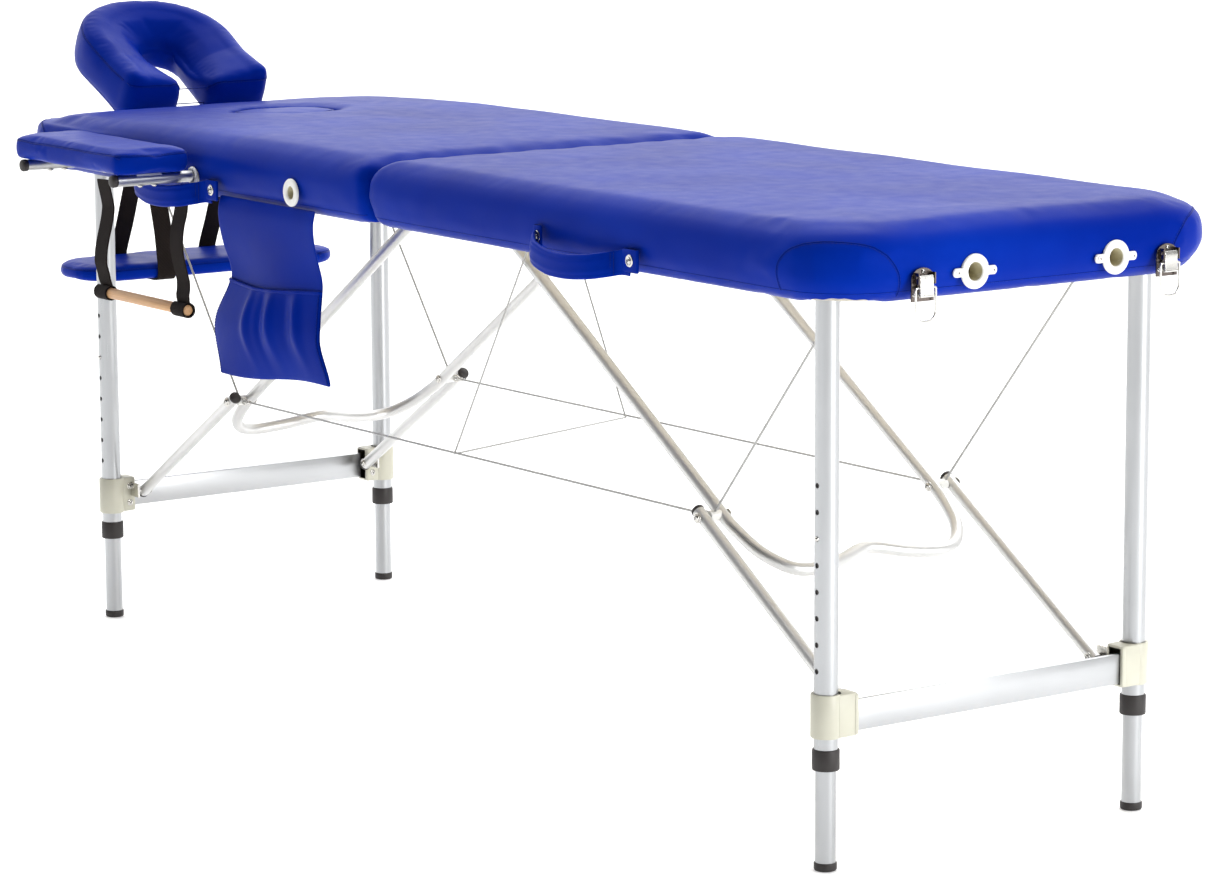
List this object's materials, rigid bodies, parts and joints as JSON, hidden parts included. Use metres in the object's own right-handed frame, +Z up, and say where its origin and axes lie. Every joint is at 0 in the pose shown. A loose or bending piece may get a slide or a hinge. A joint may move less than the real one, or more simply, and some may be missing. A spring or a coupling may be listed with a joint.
{
  "type": "portable folding massage table",
  "caption": "Folding massage table in two hinged padded halves on height-adjustable legs, with a tilting face rest, armrest, hanging arm shelf, towel rail and pocket.",
  "frame": {"origin": "centre of the bounding box, on the floor", "axes": "+X towards the foot end, +Y towards the far long side, +Z up"},
  "size_m": [2.2218, 0.732, 0.8717],
  "materials": {
    "vinyl": "satin blue upholstery vinyl",
    "aluminium": "satin",
    "steel": "satin nickel",
    "wood": "clear varnish",
    "cream": "matte",
    "black": "matte",
    "webbing": "woven",
    "wire": "plastic coated wire"
  },
  "bodies": {
    "head_half": {"head_deck": "wood", "head_pad": "vinyl", "hinge_head_leaf": "steel", "head_carry_handle": "vinyl", "head_near_short_cable": "wire", "head_far_short_cable": "wire"},
    "hinge_pin": {"hinge_pin": "steel", "near_long_cable": "wire", "far_long_cable": "wire", "elastic_cord": "wire"},
    "foot_half": {"foot_deck": "wood", "foot_pad": "vinyl", "hinge_foot_leaf": "steel", "foot_carry_handle": "vinyl", "foot_near_short_cable": "wire", "foot_far_short_cable": "wire", "near_latch_base": "steel", "far_latch_base": "steel"},
    "foot_leg_frame": {"foot_near_leg_outer": "aluminium", "foot_near_leg_clamp": "cream", "foot_far_leg_outer": "aluminium", "foot_far_leg_clamp": "cream", "foot_crossbar": "aluminium"},
    "foot_brace": {"foot_brace": "aluminium"},
    "foot_struts": {"foot_near_strut": "aluminium", "foot_far_strut": "aluminium"},
    "foot_near_leg_slider": {"foot_near_leg_inner": "aluminium"},
    "foot_near_button": {"foot_near_snap_button": "steel"},
    "foot_far_leg_slider": {"foot_far_leg_inner": "aluminium"},
    "foot_far_button": {"foot_far_snap_button": "steel"},
    "head_leg_frame": {"head_near_leg_outer": "aluminium", "head_near_leg_clamp": "cream", "head_far_leg_outer": "aluminium", "head_far_leg_clamp": "cream", "head_crossbar": "aluminium"},
    "head_brace": {"head_brace": "aluminium"},
    "head_struts": {"head_near_strut": "aluminium", "head_far_strut": "aluminium"},
    "head_near_leg_slider": {"head_near_leg_inner": "aluminium"},
    "head_near_button": {"head_near_snap_button": "steel"},
    "head_far_leg_slider": {"head_far_leg_inner": "aluminium"},
    "head_far_button": {"head_far_snap_button": "steel"},
    "plug": {"face_plug": "vinyl"},
    "headrest": {"headrest_frame": "aluminium"},
    "headrest_top": {"headrest_platform": "black", "headrest_cushion": "vinyl"},
    "tilt_lever": {"headrest_lever": "black"},
    "armrest": {"armrest_frame": "aluminium", "armrest_pad": "vinyl"},
    "shelf": {"arm_shelf": "vinyl", "near_shelf_strap": "webbing", "far_shelf_strap": "webbing"},
    "towel_rail": {"towel_bar": "wood", "towel_bar_head_strap": "webbing", "towel_bar_foot_strap": "webbing"},
    "pocket_flap": {"pocket": "vinyl"},
    "near_lever": {"near_latch_lever": "steel"},
    "near_bail": {"near_latch_bail": "steel"},
    "far_lever": {"far_latch_lever": "steel"},
    "far_bail": {"far_latch_bail": "steel"}
  },
  "joints": [
    {"name": "case_fold", "type": "hinge", "parent": "head_half", "child": "hinge_pin", "pos_m": [0.12043, 0.064, 0.6605], "axis": [0, 1, 0], "range_deg": [0, 90], "deforming": ["near_long_cable", "far_long_cable", "head_near_short_cable", "head_far_short_cable", "foot_near_short_cable", "foot_far_short_cable", "elastic_cord"]},
    {"name": "case_close", "type": "hinge", "parent": "hinge_pin", "child": "foot_half", "pos_m": [0.12043, 0.064, 0.6605], "axis": [0, 1, 0], "range_deg": [0, 90], "deforming": ["towel_bar_foot_strap", "near_long_cable", "far_long_cable", "elastic_cord"]},
    {"name": "foot_leg_fold", "type": "hinge", "parent": "foot_half", "child": "foot_leg_frame", "pos_m": [1.00243, 0.064, 0.689], "axis": [0, 1, 0], "range_deg": [0, 90]},
    {"name": "foot_brace_fold", "type": "hinge", "parent": "foot_half", "child": "foot_brace", "pos_m": [0.18743, 0.064, 0.697], "axis": [0, -1, 0], "range_deg": [0, 32.59]},
    {"name": "foot_strut_fold", "type": "hinge", "parent": "foot_leg_frame", "child": "foot_struts", "pos_m": [0.98143, 0.064, 0.19], "axis": [0, 1, 0], "range_deg": [0, 59.88]},
    {"name": "foot_near_leg_height", "type": "slide", "parent": "foot_leg_frame", "child": "foot_near_leg_slider", "axis": [0, 0, 1], "range_m": [-0.1535, 0.0614]},
    {"name": "foot_near_button_press", "type": "slide", "parent": "foot_leg_frame", "child": "foot_near_button", "axis": [0, 1, 0], "range_m": [0, 0.006], "stiffness_N_per_m": 300, "springref_m": -0.004},
    {"name": "foot_far_leg_height", "type": "slide", "parent": "foot_leg_frame", "child": "foot_far_leg_slider", "axis": [0, 0, 1], "range_m": [-0.1535, 0.0614]},
    {"name": "foot_far_button_press", "type": "slide", "parent": "foot_leg_frame", "child": "foot_far_button", "axis": [0, -1, 0], "range_m": [0, 0.006], "stiffness_N_per_m": 300, "springref_m": -0.004},
    {"name": "head_leg_fold", "type": "hinge", "parent": "head_half", "child": "head_leg_frame", "pos_m": [-0.70157, 0.064, 0.689], "axis": [0, -1, 0], "range_deg": [0, 90]},
    {"name": "head_brace_fold", "type": "hinge", "parent": "head_half", "child": "head_brace", "pos_m": [0.08043, 0.064, 0.69], "axis": [0, 1, 0], "range_deg": [0, 33.9]},
    {"name": "head_strut_fold", "type": "hinge", "parent": "head_leg_frame", "child": "head_struts", "pos_m": [-0.68057, 0.064, 0.19], "axis": [0, -1, 0], "range_deg": [0, 61.4]},
    {"name": "head_near_leg_height", "type": "slide", "parent": "head_leg_frame", "child": "head_near_leg_slider", "axis": [0, 0, 1], "range_m": [-0.1535, 0.0614]},
    {"name": "head_near_button_press", "type": "slide", "parent": "head_leg_frame", "child": "head_near_button", "axis": [0, 1, 0], "range_m": [0, 0.006], "stiffness_N_per_m": 300, "springref_m": -0.004},
    {"name": "head_far_leg_height", "type": "slide", "parent": "head_leg_frame", "child": "head_far_leg_slider", "axis": [0, 0, 1], "range_m": [-0.1535, 0.0614]},
    {"name": "head_far_button_press", "type": "slide", "parent": "head_leg_frame", "child": "head_far_button", "axis": [0, -1, 0], "range_m": [0, 0.006], "stiffness_N_per_m": 300, "springref_m": -0.004},
    {"name": "plug_lift", "type": "slide", "parent": "head_half", "child": "plug", "axis": [0, 0, 1], "range_m": [0, 0.04]},
    {"name": "headrest_slide", "type": "slide", "parent": "head_half", "child": "headrest", "axis": [1, 0, 0], "range_m": [-0.04, 0]},
    {"name": "headrest_tilt", "type": "hinge", "parent": "headrest", "child": "headrest_top", "pos_m": [-0.93757, 0.064, 0.704], "axis": [0, 1, 0], "range_deg": [-25, 5]},
    {"name": "tilt_lever_turn", "type": "hinge", "parent": "headrest", "child": "tilt_lever", "pos_m": [-0.93757, 0.064, 0.704], "axis": [0, 1, 0], "range_deg": [0, 60]},
    {"name": "armrest_slide", "type": "slide", "parent": "head_half", "child": "armrest", "axis": [0, 1, 0], "range_m": [-0.05, 0]},
    {"name": "shelf_swing", "type": "hinge", "parent": "headrest", "child": "shelf", "pos_m": [-0.88957, 0.064, 0.6915], "axis": [0, 1, 0], "range_deg": [0, 15]},
    {"name": "towel_rail_fold", "type": "hinge", "parent": "head_half", "child": "towel_rail", "pos_m": [0.12043, -0.228, 0.663], "axis": [-1, 0, 0], "range_deg": [0, 60]},
    {"name": "pocket_fold", "type": "hinge", "parent": "head_half", "child": "pocket_flap", "pos_m": [0.12043, -0.2365, 0.663], "axis": [-1, 0, 0], "range_deg": [0, 60]},
    {"name": "near_latch_open", "type": "hinge", "parent": "foot_half", "child": "near_lever", "pos_m": [1.10693, -0.11, 0.692], "axis": [0, 1, 0], "range_deg": [-120, 0]},
    {"name": "near_bail_swing", "type": "hinge", "parent": "near_lever", "child": "near_bail", "pos_m": [1.10743, -0.11, 0.68], "axis": [0, 1, 0], "range_deg": [-70, 0]},
    {"name": "far_latch_open", "type": "hinge", "parent": "foot_half", "child": "far_lever", "pos_m": [1.10693, 0.254, 0.692], "axis": [0, 1, 0], "range_deg": [-120, 0]},
    {"name": "far_bail_swing", "type": "hinge", "parent": "far_lever", "child": "far_bail", "pos_m": [1.10743, 0.254, 0.68], "axis": [0, 1, 0], "range_deg": [-70, 0]}
  ],
  "couplings": [
    {"joint": "foot_leg_fold", "follows": "case_fold", "ratio": 1},
    {"joint": "foot_brace_fold", "follows": "case_fold", "ratio": 0.36158},
    {"joint": "foot_strut_fold", "follows": "case_fold", "ratio": 0.66479},
    {"joint": "head_leg_fold", "follows": "case_fold", "ratio": 1},
    {"joint": "head_brace_fold", "follows": "case_fold", "ratio": 0.37613},
    {"joint": "head_strut_fold", "follows": "case_fold", "ratio": 0.68169},
    {"joint": "shelf_swing", "follows": "case_fold", "ratio": 0.16666},
    {"joint": "towel_rail_fold", "follows": "case_fold", "ratio": 0.66666},
    {"joint": "pocket_fold", "follows": "case_fold", "ratio": 0.66666}
  ]
}
